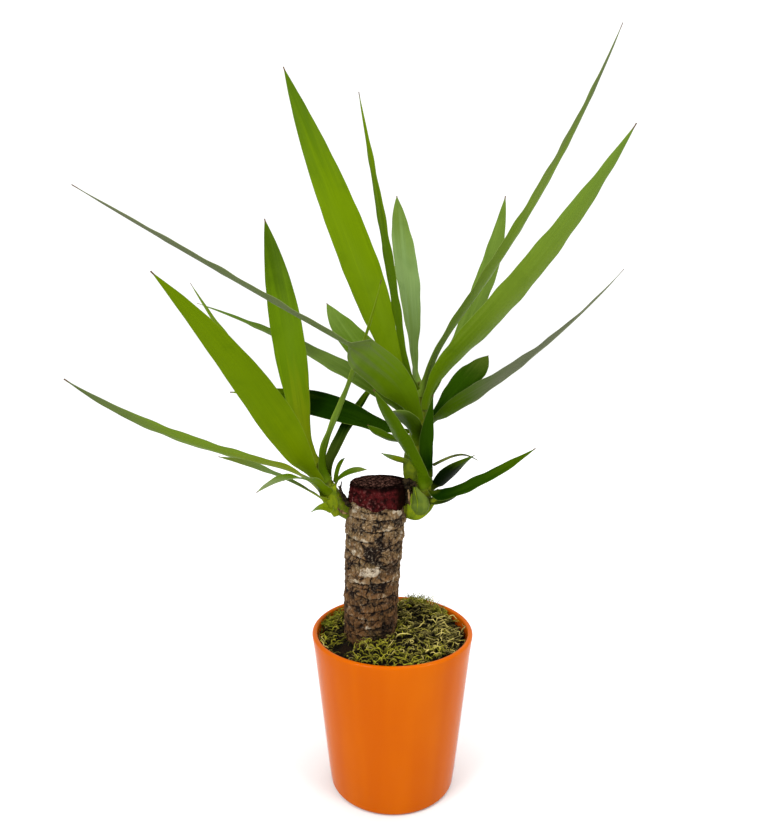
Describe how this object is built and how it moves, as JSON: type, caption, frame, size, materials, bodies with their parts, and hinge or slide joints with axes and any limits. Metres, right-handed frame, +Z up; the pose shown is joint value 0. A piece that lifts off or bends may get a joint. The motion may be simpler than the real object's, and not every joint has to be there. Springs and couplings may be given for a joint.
{
  "type": "potted yucca",
  "caption": "Yucca house plant: a sawn cane with a waxed top and leafy side shoots, in a round glazed pot filled with soil and moss.",
  "frame": {"origin": "middle of the pot's flat underside", "axes": "+Z up through the pot to the leaves; -Y is the side seen in the picture, +X is to its right"},
  "size_m": [0.3982, 0.2123, 0.5988],
  "materials": {
    "glazed_pot": "high-gloss orange glaze",
    "soil": "dark crumbly potting soil",
    "moss": "tangled matt moss, olive with straw-coloured strands",
    "bark": "rough grey-brown bark with ringed leaf scars and cracks",
    "wax": "dark burgundy wound wax, grainy",
    "shoot": "smooth green stem",
    "leaf": "satin green blade with fine lengthwise veins and a pale margin"
  },
  "bodies": {
    "root": {"pot": "glazed_pot", "soil": "soil", "moss": "moss", "trunk": "bark", "wax_cap": "wax", "shoot_left": "shoot", "shoot_right": "shoot", "leaf_left_wide": "leaf", "leaf_left_upright": "leaf", "leaf_left_low_long": "leaf", "leaf_left_low_short": "leaf", "leaf_left_bent": "leaf", "leaf_left_bract": "leaf", "leaf_left_inner": "leaf", "leaf_left_dark": "leaf", "leaf_left_spur": "leaf", "leaf_left_hook": "leaf", "leaf_left_back": "leaf", "leaf_right_widest": "leaf", "leaf_right_upright": "leaf", "leaf_right_grey": "leaf", "leaf_right_back": "leaf", "leaf_right_tallest": "leaf", "leaf_right_broad": "leaf", "leaf_right_slim": "leaf", "leaf_right_spoon": "leaf", "leaf_right_low": "leaf", "leaf_right_folded": "leaf", "leaf_right_creased": "leaf", "leaf_right_front": "leaf", "leaf_right_stub": "leaf", "leaf_right_arching": "leaf", "leaf_right_pale": "leaf", "leaf_right_far": "leaf", "leaf_right_stem_side": "leaf", "leaf_right_bract": "leaf", "leaf_right_low_bract": "leaf", "leaf_right_hidden": "leaf"}
  },
  "joints": []
}
